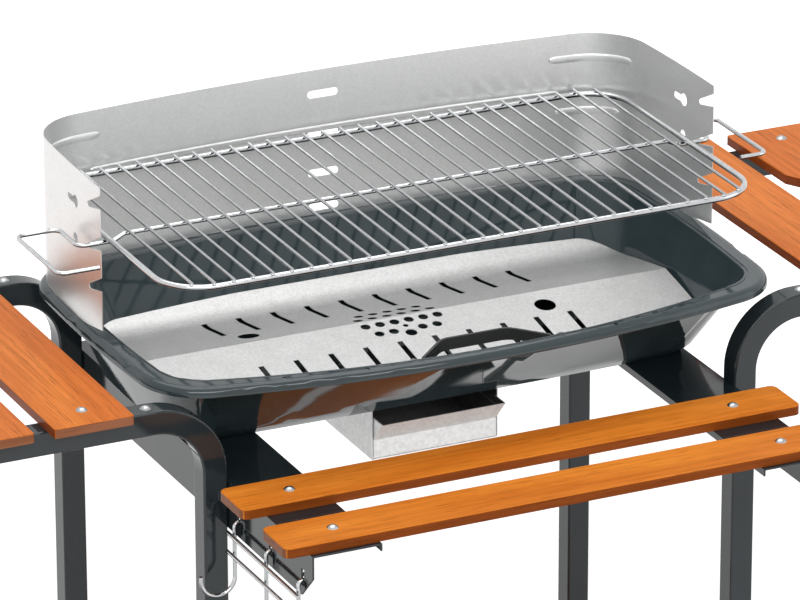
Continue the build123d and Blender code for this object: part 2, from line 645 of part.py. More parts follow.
for sx in (-1, 1):
    place = (sx * HANDLE_X, strip_y, RIM_Z - foot_depth)
    normal = Plane(origin=place, x_dir=(1, sx * tilt, 0), z_dir=(-sx * tilt, 1, wall_run))
    foot_t = WALL_T * HANDLE_T / BOWL_SHEET / hypot(1, wall_run) + 2 * HOLE_GAP
    wall_t = WALL_T / hypot(1, wall_run) + 2 * HOLE_GAP
    hole = normal * Cylinder(RIVET_R + 2 * HOLE_GAP, 4 * HANDLE_H)
    front_side = block(-BOWL_X, BOWL_X, -BOWL_FRONT, grip_y - HANDLE_T, FLOOR_Z, RIM_Z)
    bowl -= hole & front_side
    handle -= hole & front_side
    shank = normal * Pos(0, 0, (foot_t - wall_t) / 2) * Cylinder(RIVET_R, foot_t + wall_t)
    head = normal * Pos(0, 0, foot_t) * dome(RIVET_HEAD_R, RIVET_HEAD_H)
    tail = normal * Pos(0, 0, -wall_t - RIVET_HEAD_H / 2) * Cylinder(RIVET_HEAD_R, RIVET_HEAD_H)
    handle_rivets.append((shank + head + tail).solid())
save("bowl_handle", handle)
save("handle_rivets", Compound(handle_rivets))

# Ash box: folded sheet under the opening in the bowl's floor, open at the top and the front, with lips
# screwed to the floor.
box_x = BOX_W / 2
box_z = FLOOR_Z - BOX_H
ash_box = block(-box_x, box_x, BOX_FRONT_Y, BOX_REAR_Y, box_z, FLOOR_Z)
ash_box -= block(-box_x + BOX_T, box_x - BOX_T, BOX_FRONT_Y, BOX_REAR_Y - BOX_T, box_z + BOX_T, FLOOR_Z)
for sx in (-1, 1):
    edge = sx * box_x
    ash_box += block(edge - sx * BOX_T, edge + sx * BOX_LIP, BOX_FRONT_Y, BOX_REAR_Y, FLOOR_Z - BOX_T, FLOOR_Z)
box_screws = []
for sx in (-1, 1):
    for y in (BOX_FRONT_Y + BOX_LIP, BOX_REAR_Y - BOX_LIP):
        x = sx * (box_x + BOX_LIP / 2)
        top = FLOOR_Z + BOWL_SHEET
        ash_box -= rod_z(x, y, FLOOR_Z - BOX_T, FLOOR_Z, SCREW_R + HOLE_GAP)
        bowl -= rod_z(x, y, FLOOR_Z, top, SCREW_R + HOLE_GAP)
        box_screws.append(plate_screw(x, y, top, BOWL_SHEET + BOX_T + SCREW_REACH).solid())
save("ash_box", ash_box)
save("bowl_screws", Compound(bowl_screws + box_screws))
save("fire_bowl", bowl)

# Ash drawer: a tray that slides in the box, its front flared forward as a lip to pull.
tray_x = box_x - BOX_T - DRAWER_GAP
tray_z = box_z + BOX_T + DRAWER_GAP / 2
tray_rear = BOX_REAR_Y - BOX_T - DRAWER_GAP
drawer = block(-tray_x, tray_x, BOX_FRONT_Y, tray_rear, tray_z, tray_z + DRAWER_SIDE)
drawer -= block(
    -tray_x + BOX_T, tray_x - BOX_T, BOX_FRONT_Y + BOX_T, tray_rear - BOX_T, tray_z + BOX_T,
    tray_z + DRAWER_SIDE,
)
flare_z = tray_z + DRAWER_FLARE_Z
drawer -= block(-tray_x, tray_x, BOX_FRONT_Y, BOX_FRONT_Y + BOX_T, flare_z, tray_z + DRAWER_SIDE)
fold = (BOX_FRONT_Y + BOX_T, flare_z)
lip_top = (BOX_FRONT_Y + BOX_T - DRAWER_FLARE, flare_z + DRAWER_FLARE_H)
lip_section = make_face(
    Polyline(
        fold, lip_top, (lip_top[0] - BOX_T, lip_top[1]), (BOX_FRONT_Y, flare_z), close=True
    )
)
drawer += extrude(Plane.YZ * lip_section, tray_x, both=True)
gusset = make_face(
    Polyline(fold, (BOX_FRONT_Y, flare_z), (lip_top[0] - BOX_T, lip_top[1]), (fold[0], lip_top[1]), close=True)
)
for sx in (-1, 1):
    drawer += Pos(sx * (tray_x - BOX_T / 2), 0, 0) * extrude(Plane.YZ * gusset, BOX_T / 2, both=True)
save("ash_drawer", drawer)

# Charcoal plate: bent sheet with a ridge along its middle, a valley on each side and raised edges, cut to
# lie in the bowl with its ends on the bowl's end walls.
plate_path = FilletPolyline(
    (PLATE_RIDGE_Y - PLATE_EDGE, RIM_Z - PLATE_EDGE_DROP),
    (PLATE_RIDGE_Y - PLATE_VALLEY, RIM_Z - PLATE_VALLEY_DROP),
    (PLATE_RIDGE_Y, RIM_Z - PLATE_RIDGE_DROP),
    (PLATE_RIDGE_Y + PLATE_VALLEY, RIM_Z - PLATE_VALLEY_DROP),
    (PLATE_RIDGE_Y + PLATE_EDGE, RIM_Z - PLATE_EDGE_DROP),
    radius=[PLATE_VALLEY_R, 2 * PLATE_T, PLATE_VALLEY_R],
)
plate_sheet = trace(plate_path, PLATE_T)
plate = extrude(Plane.YZ * plate_sheet, BOWL_X, both=True)
plate_cut = wall_outline(RIM_Z - plate_sheet.bounding_box().min.Y, PLATE_GAP)
plate &= Pos(0, 0, FLOOR_Z) * extrude(plate_cut, BOWL_DEPTH)
low_z = RIM_Z - PLATE_VALLEY_DROP - 2 * PLATE_T
high_z = RIM_Z - PLATE_RIDGE_DROP + 2 * PLATE_T
for side in (-1, 1):
    for i in range(SLOT_COUNT):
        x = PUNCH_X + (i - (SLOT_COUNT - 1) / 2) * SLOT_PITCH
        y0 = PLATE_RIDGE_Y + side * SLOT_START
        plate -= block(x - SLOT_W / 2, x + SLOT_W / 2, y0, y0 + side * SLOT_L, low_z, high_z)
    for row, count in VENT_ROWS:
        for i in range(count):
            x = (i - (count - 1) / 2) * VENT_PITCH
            if side > 0 or x != 0:
                plate -= rod_z(PUNCH_X + x, PLATE_RIDGE_Y + side * row, low_z, high_z, VENT_R)
    plate -= rod_z(PUNCH_X - side * LIFT_X, PLATE_RIDGE_Y + side * LIFT_Y, low_z, high_z, LIFT_R)
plate -= rod_z(PUNCH_X, PLATE_RIDGE_Y - PILOT_Y, low_z, high_z, PILOT_R)
plate -= rod_z(PUNCH_X, PLATE_RIDGE_Y - FINGER_Y, low_z, high_z, FINGER_R)
save("charcoal_plate", plate)

# Cooking grid: a wire frame with thin bars welded on top, carried by a cross rod that lies in the notches
# of the wind screen, passes under the frame and steps up to the bars. Its ends are bent into handles.
loop = (Pos(0, GRID_Y, FRAME_Z) * RectangleRounded(2 * GRID_X, 2 * GRID_DEPTH, GRID_R)).wire()
frame_section = Plane(origin=loop @ 0, z_dir=loop % 0) * Circle(FRAME_WIRE_R)
save("grid_frame", sweep(frame_section, path=loop))

grid_bars = []
for i in range(BAR_COUNT):
    x = (i - (BAR_COUNT - 1) / 2) * BAR_PITCH
    past = abs(x) - (GRID_X - GRID_R)
    reach = GRID_DEPTH + BAR_OVER
    if past > 0:
        reach = GRID_DEPTH - GRID_R + sqrt(GRID_R**2 - past**2) + BAR_OVER
    grid_bars.append(rod_y(x, GRID_Y - reach, GRID_Y + reach, BAR_WIRE_Z, BAR_WIRE_R).solid())
save("grid_bars", Compound(grid_bars))

loop_back = GRID_Y + LOOP_BACK
loop_front = GRID_Y - LOOP_FRONT


def rod_end(loop_x):
    """The bends of the cross rod from its step to the end of its right handle."""
    return [
        (JOG_IN_X, GRID_Y, ROD_MID_Z), (JOG_OUT_X, GRID_Y, GRID_Z), (LOOP_IN_X, GRID_Y, GRID_Z),
        (LOOP_IN_X, loop_back, GRID_Z), (loop_x, loop_back, GRID_Z), (loop_x, loop_front, GRID_Z),
        (LOOP_END_X, loop_front, GRID_Z),
    ]


right_end = rod_end(RIGHT_LOOP_X)
left_end = [(-x, y, z) for x, y, z in reversed(rod_end(LEFT_LOOP_X))]
right_bends = [JOG_R, JOG_R, LOOP_R, LOOP_R, LOOP_R, LOOP_R]
save("grid_rod", bent_wire(left_end + right_end, ROD_R, right_bends[::-1] + right_bends))

# Hook rack: J-hooks whose pins lie behind slots in the left bar, joined by two rods.
hook_x = -(BAR_OUT_X + HOOK_OUT)
pin_x = -(BAR_OUT_X - HOOK_PIN)
tip_x = hook_x - HOOK_W
foot_z = hook_z - HOOK_LEN
pin_bend = (hook_x - pin_x) / -2.2
hooks = []
for y in HOOK_YS:
    points = [
        (pin_x, y + HOOK_PIN_L, hook_z), (pin_x, y, hook_z), (hook_x, y, hook_z), (hook_x, y, foot_z),
        (tip_x, y, foot_z), (tip_x, y, foot_z + HOOK_TIP),
    ]
    round_end = HOOK_W / 2.02
    hooks.append(bent_wire(points, RACK_WIRE_R, [pin_bend, pin_bend, round_end, round_end]).solid())
save("rack_hooks", Compound(hooks))
rods = []
rod_x_place = hook_x - 2 * RACK_WIRE_R
for drop in RACK_ROD_DROPS:
    rods.append(
        rod_y(
            rod_x_place, min(HOOK_YS) - RACK_OVERHANG, max(HOOK_YS) + RACK_OVERHANG, hook_z - drop, RACK_WIRE_R
        ).solid()
    )
save("rack_rods", Compound(rods))

# Axle through the left legs, with a wheel outside each leg and a push-on cap on each end.
axle_end = CAP_Y + CAP_GRIP
save("axle", rod_y(-LEG_X, -axle_end, axle_end, WHEEL_R, AXLE_R))
axle_caps = []
for name, sy in (("front", -1), ("rear", 1)):
    middle = Pos(-LEG_X, sy * HUB_Y, WHEEL_R) * Rot(90, 0, 0)
    rim_r = WHEEL_R - TYRE_T
    wheel = Cylinder(rim_r, WHEEL_W) - Cylinder(rim_r - WHEEL_RIM_T, WHEEL_W)
    wheel += Cylinder(rim_r - WHEEL_RIM_T / 2, WEB_T) + Cylinder(HUB_R, HUB_W)
    hole_ring = (rim_r - WHEEL_RIM_T + HUB_R) / 2
    for spoke in PolarLocations(hole_ring, WEB_HOLES):
        wheel -= spoke * Cylinder(WEB_HOLE_R, 2 * WEB_T)
    wheel -= Cylinder(AXLE_R + RUN_GAP, 2 * HUB_W)
    save(f"wheel_{name}", middle * wheel)
    tread = Cylinder(WHEEL_R, TYRE_W)
    tyre = fillet(tread.edges().filter_by(GeomType.CIRCLE), TYRE_T / 2) - Cylinder(rim_r, TYRE_W)
    save(f"tyre_{name}", middle * tyre)
    cap = rod_y(-LEG_X, sy * CAP_Y, sy * CAP_END_Y, WHEEL_R, CAP_R)
    cap -= rod_y(-LEG_X, sy * CAP_Y, sy * (CAP_Y + CAP_GRIP), WHEEL_R, AXLE_R)
    axle_caps.append(cap.solid())
save("axle_caps", Compound(axle_caps))
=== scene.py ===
import json
from math import atan2, cos, pi, radians, sin, sqrt

import bmesh
import bpy
from mathutils import Matrix, Vector

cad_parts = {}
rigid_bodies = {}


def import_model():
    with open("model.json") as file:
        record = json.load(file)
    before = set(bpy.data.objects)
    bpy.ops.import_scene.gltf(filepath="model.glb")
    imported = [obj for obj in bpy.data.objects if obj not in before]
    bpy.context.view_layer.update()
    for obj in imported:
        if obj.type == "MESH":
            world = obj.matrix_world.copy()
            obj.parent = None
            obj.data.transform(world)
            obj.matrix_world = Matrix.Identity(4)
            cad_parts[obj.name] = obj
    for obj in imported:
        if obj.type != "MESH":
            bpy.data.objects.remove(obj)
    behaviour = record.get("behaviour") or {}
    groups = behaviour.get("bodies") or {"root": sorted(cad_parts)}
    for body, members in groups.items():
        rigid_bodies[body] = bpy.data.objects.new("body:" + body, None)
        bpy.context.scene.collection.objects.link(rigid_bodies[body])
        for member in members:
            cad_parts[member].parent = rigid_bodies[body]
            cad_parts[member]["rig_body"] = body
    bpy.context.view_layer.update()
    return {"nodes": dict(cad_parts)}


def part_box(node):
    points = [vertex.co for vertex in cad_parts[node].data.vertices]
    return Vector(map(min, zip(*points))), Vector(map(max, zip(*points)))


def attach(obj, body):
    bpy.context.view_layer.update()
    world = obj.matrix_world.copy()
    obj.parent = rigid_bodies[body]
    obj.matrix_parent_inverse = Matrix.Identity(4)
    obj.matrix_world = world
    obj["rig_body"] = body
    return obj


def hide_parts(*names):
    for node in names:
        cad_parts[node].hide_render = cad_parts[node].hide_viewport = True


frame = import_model()
cad = frame["nodes"]

# Legs and lower rails. Square steel tube, bent cold into the arms, powder coated slate grey with a fine
# orange peel. Their solids keep their shape and take the coat.


def shader(tree, kind, values=(), **settings):
    """One shader node with its settings, and its sockets set from (socket, value) pairs."""
    made = tree.nodes.new("ShaderNode" + kind)
    for key, value in settings.items():
        setattr(made, key, value)
    for socket, value in values:
        made.inputs[socket].default_value = value
    return made


def wire(tree, source, out, target, socket):
    """Links one node's output to another's input."""
    tree.links.new(source.outputs[out], target.inputs[socket])


def new_finish(name, values):
    """An empty material, its tree, its surface shader and its object coordinates."""
    made = bpy.data.materials.new(name)
    made.use_nodes = True
    tree = made.node_tree
    surface = tree.nodes["Principled BSDF"]
    for socket, value in values:
        surface.inputs[socket].default_value = value
    place = tree.nodes.new("ShaderNodeTexCoord")
    return made, tree, surface, place


def ramp(tree, source, out, low, high, start=0.3, end=0.7):
    """Two colours blended by a texture's value."""
    made = tree.nodes.new("ShaderNodeValToRGB")
    made.color_ramp.elements[0].position = start
    made.color_ramp.elements[0].color = (*low, 1)
    made.color_ramp.elements[1].position = end
    made.color_ramp.elements[1].color = (*high, 1)
    wire(tree, source, out, made, "Fac")
    return made


def grain(tree, place, scale, detail):
    """Noise on object coordinates."""
    noise = shader(tree, "TexNoise", [("Scale", scale), ("Detail", detail)])
    wire(tree, place, "Object", noise, "Vector")
    return noise


def spread(tree, source, out, low, high):
    """A texture's value moved into a range."""
    span = [("From Min", 0.25), ("From Max", 0.75), ("To Min", low), ("To Max", high)]
    made = shader(tree, "MapRange", span)
    wire(tree, source, out, made, "Value")
    return made


def relief(tree, source, out, surface, strength, depth, under=None):
    """A bump from a texture, on top of another bump where there is one."""
    made = shader(tree, "Bump", [("Strength", strength), ("Distance", depth)])
    wire(tree, source, out, made, "Height")
    if under is not None:
        wire(tree, under, "Normal", made, "Normal")
    wire(tree, made, "Normal", surface, "Normal")
    return made


def coat_finish(name, low, high, rough, peel, shine):
    """Stoved paint: a slightly uneven colour and gloss, slow waves and an orange peel."""
    made, tree, surface, place = new_finish(name, [("Specular IOR Level", shine)])
    colour = ramp(tree, grain(tree, place, 22, 3), "Fac", low, high)
    wire(tree, colour, "Color", surface, "Base Color")
    rubbed = spread(tree, grain(tree, place, 60, 4), "Fac", rough * 0.8, rough * 1.25)
    wire(tree, rubbed, "Result", surface, "Roughness")
    waves = relief(tree, grain(tree, place, 14, 1), "Fac", surface, 0.10, 0.004)
    relief(tree, grain(tree, place, 700, 1), "Fac", surface, peel, 0.0006, waves)
    return made


def paint_node(node, finish):
    """Puts a finish on a solid that keeps its shape."""
    for slot in cad[node].material_slots:
        slot.material = finish


tube_coat = coat_finish("tube_coat", (0.020, 0.028, 0.032), (0.027, 0.036, 0.040), 0.08, 0.03, 0.38)
for corner in ("front_left", "front_right", "rear_left", "rear_right"):
    paint_node("leg_" + corner, tube_coat)
for side in ("left", "right"):
    paint_node("lower_rail_" + side, tube_coat)

# Frame bolts and axle. Zinc plated steel. Each bolt has a domed head inside the bar and goes through the
# bar's flange into the inner wall of the leg. The axle runs through both left legs.


def metal_finish(name, low, high, rough, marks, depth):
    """Bare or plated metal with faint stains and a rubbed sheen."""
    made, tree, surface, place = new_finish(name, [("Metallic", 1.0)])
    colour = ramp(tree, grain(tree, place, marks, 4), "Fac", low, high)
    wire(tree, colour, "Color", surface, "Base Color")
    rubbed = spread(tree, grain(tree, place, marks * 2.5, 3), "Fac", rough - 0.06, rough + 0.08)
    wire(tree, rubbed, "Result", surface, "Roughness")
    relief(tree, grain(tree, place, marks * 8, 2), "Fac", surface, depth, 0.0003)
    return made


zinc_plate = metal_finish("zinc_plate", (0.52, 0.53, 0.54), (0.66, 0.67, 0.67), 0.26, 90, 0.05)
for node in ("frame_bolts", "axle"):
    paint_node(node, zinc_plate)

# Arm plugs, leg plugs, foot caps and axle caps. Moulded black plastic with a fine grain and rounded edges,
# pushed in or on.


def joined_copy(node):
    """A node's shape with its triangles joined into flat faces."""
    shape = bmesh.new()
    shape.from_mesh(cad[node].data)
    bmesh.ops.remove_doubles(shape, verts=shape.verts, dist=1e-6)
    bmesh.ops.dissolve_limit(shape, angle_limit=radians(0.4), verts=shape.verts, edges=shape.edges)
    return shape


def crisp_edges(shape):
    """The edges of a shape where its faces meet at an angle."""
    return [edge for edge in shape.edges if edge.is_manifold and edge.calc_face_angle() > radians(32)]


def rounded(shape, edges, width, segments):
    """Rounds some edges of a shape."""
    bmesh.ops.bevel(
        shape, geom=edges, offset=width, offset_type="OFFSET", segments=segments, profile=0.5,
        affect="EDGES", clamp_overlap=False, material=-1,
    )


def soft_copy(node, width, segments):
    """A node's shape with its sharp edges rounded."""
    shape = joined_copy(node)
    rounded(shape, crisp_edges(shape), width, segments)
    return shape


def new_piece(shape, name, body, finishes, smooth=40):
    """A finished piece that moves with a body."""
    mesh = bpy.data.meshes.new(name)
    shape.to_mesh(mesh)
    shape.free()
    mesh.polygons.foreach_set("use_smooth", [True] * len(mesh.polygons))
    mesh.set_sharp_from_angle(angle=radians(smooth))
    for finish in finishes:
        mesh.materials.append(finish)
    made = bpy.data.objects.new(name, mesh)
    bpy.context.scene.collection.objects.link(made)
    flat = made.modifiers.new("flat_faces", "WEIGHTED_NORMAL")
    flat.keep_sharp = True
    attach(made, body)
    return made


def piece_for(shape, name, node, finishes, smooth=40):
    """A finished piece that stands for a CAD node and moves with its body."""
    made = new_piece(shape, name, cad[node]["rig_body"], finishes, smooth)
    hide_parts(node)
    return made


def plastic_finish(name, low, high, rough, scale, depth):
    """Moulded plastic or rubber with a fine grain."""
    made, tree, surface, place = new_finish(name, [("Specular IOR Level", 0.45)])
    colour = ramp(tree, grain(tree, place, 40, 4), "Fac", low, high)
    wire(tree, colour, "Color", surface, "Base Color")
    rubbed = spread(tree, grain(tree, place, 130, 3), "Fac", rough - 0.06, rough + 0.08)
    wire(tree, rubbed, "Result", surface, "Roughness")
    relief(tree, grain(tree, place, scale, 2), "Fac", surface, depth, 0.0005)
    return made


MOULD_ROUND = 0.0009             # edge radius of moulded plastic
black_plastic = plastic_finish(
    "black_plastic", (0.011, 0.011, 0.012), (0.020, 0.020, 0.022), 0.45, 1500, 0.15
)
for node in ("arm_plugs", "leg_plugs", "foot_caps", "axle_caps"):
    piece_for(soft_copy(node, MOULD_ROUND, 3), node + "_moulded", node, [black_plastic])

# Support bars. Folded sheet steel under the bowl, painted like the tube but darker, with rounded folds. They
# are bolted to the legs and carry the front planks on their ends.
BAR_ROUND = 0.0007
bar_coat = coat_finish("bar_coat", (0.012, 0.019, 0.022), (0.017, 0.025, 0.029), 0.08, 0.03, 0.42)
for node in ("bar_left", "bar_right"):
    piece_for(soft_copy(node, BAR_ROUND, 3), "folded_" + node, node, [bar_coat])

# Planks. Sawn and planed wood with eased edges, stained orange brown and thinly varnished. The grain runs
# along each plank.
# The long edges are painted darker, which is painted shade. The sawn ends are a greyer brown and are also
# darkened with painted shade.


def wood_finish(name, turn, dark, middle, light):
    """Stained wood whose grain runs along X, turned about Z, under a thin varnish."""
    made, tree, surface, place = new_finish(name, [("Specular IOR Level", 0.08)])
    lay = shader(tree, "Mapping", [("Rotation", (0, 0, turn)), ("Location", (0.3, 0.03, -0.62))])
    wire(tree, place, "Object", lay, "Vector")

    def drawn(length, scale, detail):
        """Noise drawn out along the grain."""
        mapping = shader(tree, "Mapping", [("Scale", (length, 1.0, 1.0))])
        wire(tree, lay, "Vector", mapping, "Vector")
        noise = shader(tree, "TexNoise", [("Scale", scale), ("Detail", detail), ("Roughness", 0.6)])
        wire(tree, mapping, "Vector", noise, "Vector")
        return noise

    tone = drawn(0.16, 24.0, 3.0)
    streaks = drawn(0.03, 210.0, 3.0)
    pores = drawn(0.05, 620.0, 2.0)
    body = ramp(tree, tone, "Fac", middle, light, 0.34, 0.66)
    figure = ramp(tree, streaks, "Fac", (0.76, 0.70, 0.62), (1.06, 1.06, 1.06), 0.34, 0.60)
    toned = shader(tree, "MixRGB", [("Fac", 0.6)], blend_type="MULTIPLY")
    wire(tree, body, "Color", toned, "Color1")
    wire(tree, figure, "Color", toned, "Color2")
    fleck = ramp(tree, pores, "Fac", (0.55, 0.55, 0.55), (0, 0, 0), 0.30, 0.42)
    flecked = shader(tree, "MixRGB", [("Color2", (*dark, 1))])
    wire(tree, fleck, "Color", flecked, "Fac")
    wire(tree, toned, "Color", flecked, "Color1")
    wire(tree, flecked, "Color", surface, "Base Color")
    rubbed = spread(tree, streaks, "Fac", 0.42, 0.30)
    wire(tree, rubbed, "Result", surface, "Roughness")
    relief(tree, pores, "Fac", surface, 0.10, 0.0005)
    return made


wood_across = wood_finish(
    "wood_across", 0.0, (0.24, 0.054, 0.006), (0.69, 0.185, 0.015), (0.85, 0.275, 0.031)
)
wood_along = wood_finish(
    "wood_along", radians(90), (0.23, 0.050, 0.007), (0.67, 0.163, 0.021), (0.81, 0.238, 0.038)
)
# Darker copies of the wood for the long edges: painted shade.
edge_across_painted_shade = wood_finish(
    "edge_across_painted_shade", 0.0, (0.10, 0.020, 0.004), (0.26, 0.058, 0.008), (0.36, 0.086, 0.012)
)
edge_along_painted_shade = wood_finish(
    "edge_along_painted_shade", radians(90), (0.10, 0.020, 0.004), (0.30, 0.066, 0.013), (0.42, 0.098, 0.022)
)
# Sawn end grain, greyer than the faces, and darker than them by painted shade.
end_sawn = wood_finish("end_sawn", 0.0, (0.13, 0.046, 0.020), (0.28, 0.100, 0.045), (0.36, 0.140, 0.070))
LONG_EDGE = 1                    # finishes of a plank after its faces, in this order
SAWN_END = 2
SQUARE_ON = 0.8                  # how far a face's normal lies along an axis to count as an edge or an end
planks = {                       # the axis each plank runs along, 0 for X and 1 for Y
    "front_plank_back": 0, "front_plank_front": 0, "lower_plank_front": 0, "lower_plank_middle": 0,
    "lower_plank_back": 0, "left_plank_inner": 1, "left_plank_outer": 1, "right_plank_inner": 1,
    "right_plank_outer": 1,
}
for node, run in planks.items():
    shape = joined_copy(node)
    for face in shape.faces:
        if abs(face.normal[run]) > SQUARE_ON:
            face.material_index = SAWN_END
        elif abs(face.normal[1 - run]) > SQUARE_ON:
            face.material_index = LONG_EDGE
    finishes = [wood_along, edge_along_painted_shade, end_sawn] if run else [wood_across, edge_across_painted_shade, end_sawn]
    piece_for(shape, node + "_planed", node, finishes)

# Screws and rivets. Zinc plated steel with domed heads. The screws go through the planks, the arms and the
# floor of the bowl, and the rivets hold the bow handle.
screw_zinc = metal_finish("screw_zinc", (0.36, 0.37, 0.38), (0.46, 0.47, 0.47), 0.28, 110, 0.05)
for node in ("plank_screws", "arm_screws", "bowl_screws", "handle_rivets"):
    paint_node(node, screw_zinc)

# Fire bowl. Deep drawn sheet steel with a broad rim, enamelled dark slate with a hard gloss. It is screwed
# to the bars, and the enamel rounds the lip inside the rim and the folds below.
LIP_ROUND = 0.0013
FOLD_ROUND = 0.0004
enamel = coat_finish("slate_enamel", (0.032, 0.049, 0.055), (0.040, 0.059, 0.066), 0.04, 0.015, 0.46)
bowl = joined_copy("fire_bowl")
rim_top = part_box("fire_bowl")[1][2]
RIM_LEVEL = 0.001                # depth within which a point lies on the rim's flat
WALL_LEAST = 0.005               # depth that a face below the lip reaches


def is_lip(edge):
    """Whether an edge runs along the top of the wall, inside the rim."""
    depths = [rim_top - vert.co.z for face in edge.link_faces for vert in face.verts]
    return all(vert.co.z > rim_top - RIM_LEVEL for vert in edge.verts) and max(depths) > WALL_LEAST


def is_fold(edge):
    """Whether an edge lies below the rim's flat."""
    return all(vert.co.z < rim_top - 2 * RIM_LEVEL for vert in edge.verts)


rounded(bowl, [edge for edge in crisp_edges(bowl) if is_lip(edge)], LIP_ROUND, 4)
rounded(bowl, [edge for edge in crisp_edges(bowl) if is_fold(edge)], FOLD_ROUND, 2)
piece_for(bowl, "enamelled_bowl", "fire_bowl", [enamel])

# Bow handle. A steel strip bent into a low arch and painted dark, with eased edges. Each foot is riveted to
# the front wall inside the bowl.
STRIP_ROUND = 0.0006
handle_coat = coat_finish("handle_coat", (0.032, 0.034, 0.032), (0.044, 0.046, 0.043), 0.22, 0.10, 0.40)
arch = soft_copy("bowl_handle", STRIP_ROUND, 2)
piece_for(arch, "bow_handle", "bowl_handle", [handle_coat])

# Wind screen. Thin galvanised sheet bent into a U, with pressed ribs across its corners and a bead along
# its back, held by tabs through the rim.


def galvanised_finish(name, low, high, cell, rough, bare):
    """Zinc coated sheet: a mosaic of dull and bright crystals over a cloudy grey, partly bare metal."""
    made, tree, surface, place = new_finish(name, [("Metallic", bare), ("Specular IOR Level", 0.3)])
    warp = grain(tree, place, 120, 2)
    moved = shader(tree, "MixRGB", [("Fac", 0.004)], blend_type="ADD")
    wire(tree, place, "Object", moved, "Color1")
    wire(tree, warp, "Color", moved, "Color2")
    crystals = shader(tree, "TexVoronoi", [("Scale", cell)])
    wire(tree, moved, "Color", crystals, "Vector")
    facets = shader(tree, "SeparateColor")
    wire(tree, crystals, "Color", facets, "Color")
    clouds = grain(tree, place, 35, 4)
    mixed = shader(tree, "Mix", [(0, 0.5)])
    wire(tree, facets, 0, mixed, 2)
    wire(tree, clouds, "Fac", mixed, 3)
    colour = ramp(tree, mixed, 0, low, high, 0.15, 0.85)
    wire(tree, colour, "Color", surface, "Base Color")
    rubbed = spread(tree, facets, 1, rough - 0.015, rough + 0.02)
    wire(tree, rubbed, "Result", surface, "Roughness")
    relief(tree, grain(tree, place, 900, 2), "Fac", surface, 0.03, 0.0003)
    return made


screen_zinc = galvanised_finish("screen_zinc", (0.70, 0.705, 0.70), (0.78, 0.78, 0.775), 560, 0.33, 0.7)
SCREEN_ROUND = 0.0003
sheet = soft_copy("wind_screen", SCREEN_ROUND, 1)
piece_for(sheet, "bent_screen", "wind_screen", [screen_zinc])

BACK_MIDDLE = (0, -2.44356)      # the back is a shallow arc about this point
BACK_RADIUS = 2.70781
BEND_MIDDLE = (0.27123, 0.18881) # the right rear bend turns about this one
BEND_RADIUS = 0.0615
RIB_TALL = 0.0040                # half heights of the ribs and of the bead
BEAD_TALL = 0.0032
RIB_THICK = 0.0011               # half thickness, and how far its middle stands in front of the sheet
RIB_PROUD = 0.0003
RIB_FADE = 0.009                 # length of each rounded end
RIB_STEP = 0.004                 # length of each facet along it
BEAD_HALF = 0.266
BEAD_Z = 0.894
BEND_RIBS = (                    # height, start on the back from its middle, and end angle in the bend
    (0.931, 0.252, radians(21)), (0.873, 0.259, radians(36)),
)


def pressed_rib(shape, centre, radius, start, end, height, tall, fades):
    """A long low swelling along a bent sheet's inner face, rounded off at the ends that fade."""
    others = set(shape.verts)
    line = radius - RIB_PROUD
    ring = bmesh.ops.create_circle(shape, segments=14, radius=1.0)["verts"]
    across, along = cos(start), sin(start)
    lay = Matrix((
        (across * RIB_THICK, 0, -along, centre[0] + line * across),
        (along * RIB_THICK, 0, across, centre[1] + line * along),
        (0, tall, 0, height),
        (0, 0, 0, 1),
    ))
    bmesh.ops.transform(shape, matrix=lay, verts=ring)
    loop = list({edge for vert in ring for edge in vert.link_edges})
    bmesh.ops.spin(
        shape, geom=loop, cent=(*centre, height), axis=(0, 0, 1), angle=end - start,
        steps=max(12, round(abs(end - start) * radius / RIB_STEP)),
    )
    for vert in set(shape.verts) - others:
        turn = atan2(vert.co.y - centre[1], vert.co.x - centre[0])
        full = 1.0
        for limit in fades:
            near = max(0.0, 1 - abs(turn - limit) * radius / RIB_FADE)
            full *= sqrt(max(0.0, 1 - near * near))
        inmost = Vector((centre[0] + line * cos(turn), centre[1] + line * sin(turn), height))
        vert.co = inmost.lerp(vert.co, full)


ribs = bmesh.new()
reach = BEAD_HALF / BACK_RADIUS
ends = (pi / 2 - reach, pi / 2 + reach)
pressed_rib(ribs, BACK_MIDDLE, BACK_RADIUS, *ends, BEAD_Z, BEAD_TALL, ends)
tangent = atan2(BEND_MIDDLE[1] - BACK_MIDDLE[1], BEND_MIDDLE[0])
for height, back_x, bend_end in BEND_RIBS:
    back_end = pi / 2 - back_x / BACK_RADIUS
    for turned in (False, True):
        middle = (-BEND_MIDDLE[0], BEND_MIDDLE[1]) if turned else BEND_MIDDLE
        first, joint, last = [pi - a if turned else a for a in (back_end, tangent, bend_end)]
        pressed_rib(ribs, BACK_MIDDLE, BACK_RADIUS, first, joint, height, RIB_TALL, (first,))
        pressed_rib(ribs, middle, BEND_RADIUS, joint, last, height, RIB_TALL, (last,))
bmesh.ops.remove_doubles(ribs, verts=ribs.verts, dist=5e-5)
bmesh.ops.recalc_face_normals(ribs, faces=ribs.faces)
new_piece(ribs, "screen_ribs", "trolley", [screen_zinc], 60)

# Ash box and ash drawer. Folded galvanised sheet with coarse crystals, with painted shade on their inner
# faces. The box is screwed under the bowl by its lips, and the drawer slides on its floor.
BOX_ROUND = 0.0004
BOX_SKIN = 0.0006                # depth past which a face counts as inside
box_zinc = galvanised_finish("box_zinc", (0.71, 0.72, 0.72), (0.90, 0.90, 0.89), 300, 0.40, 0.35)
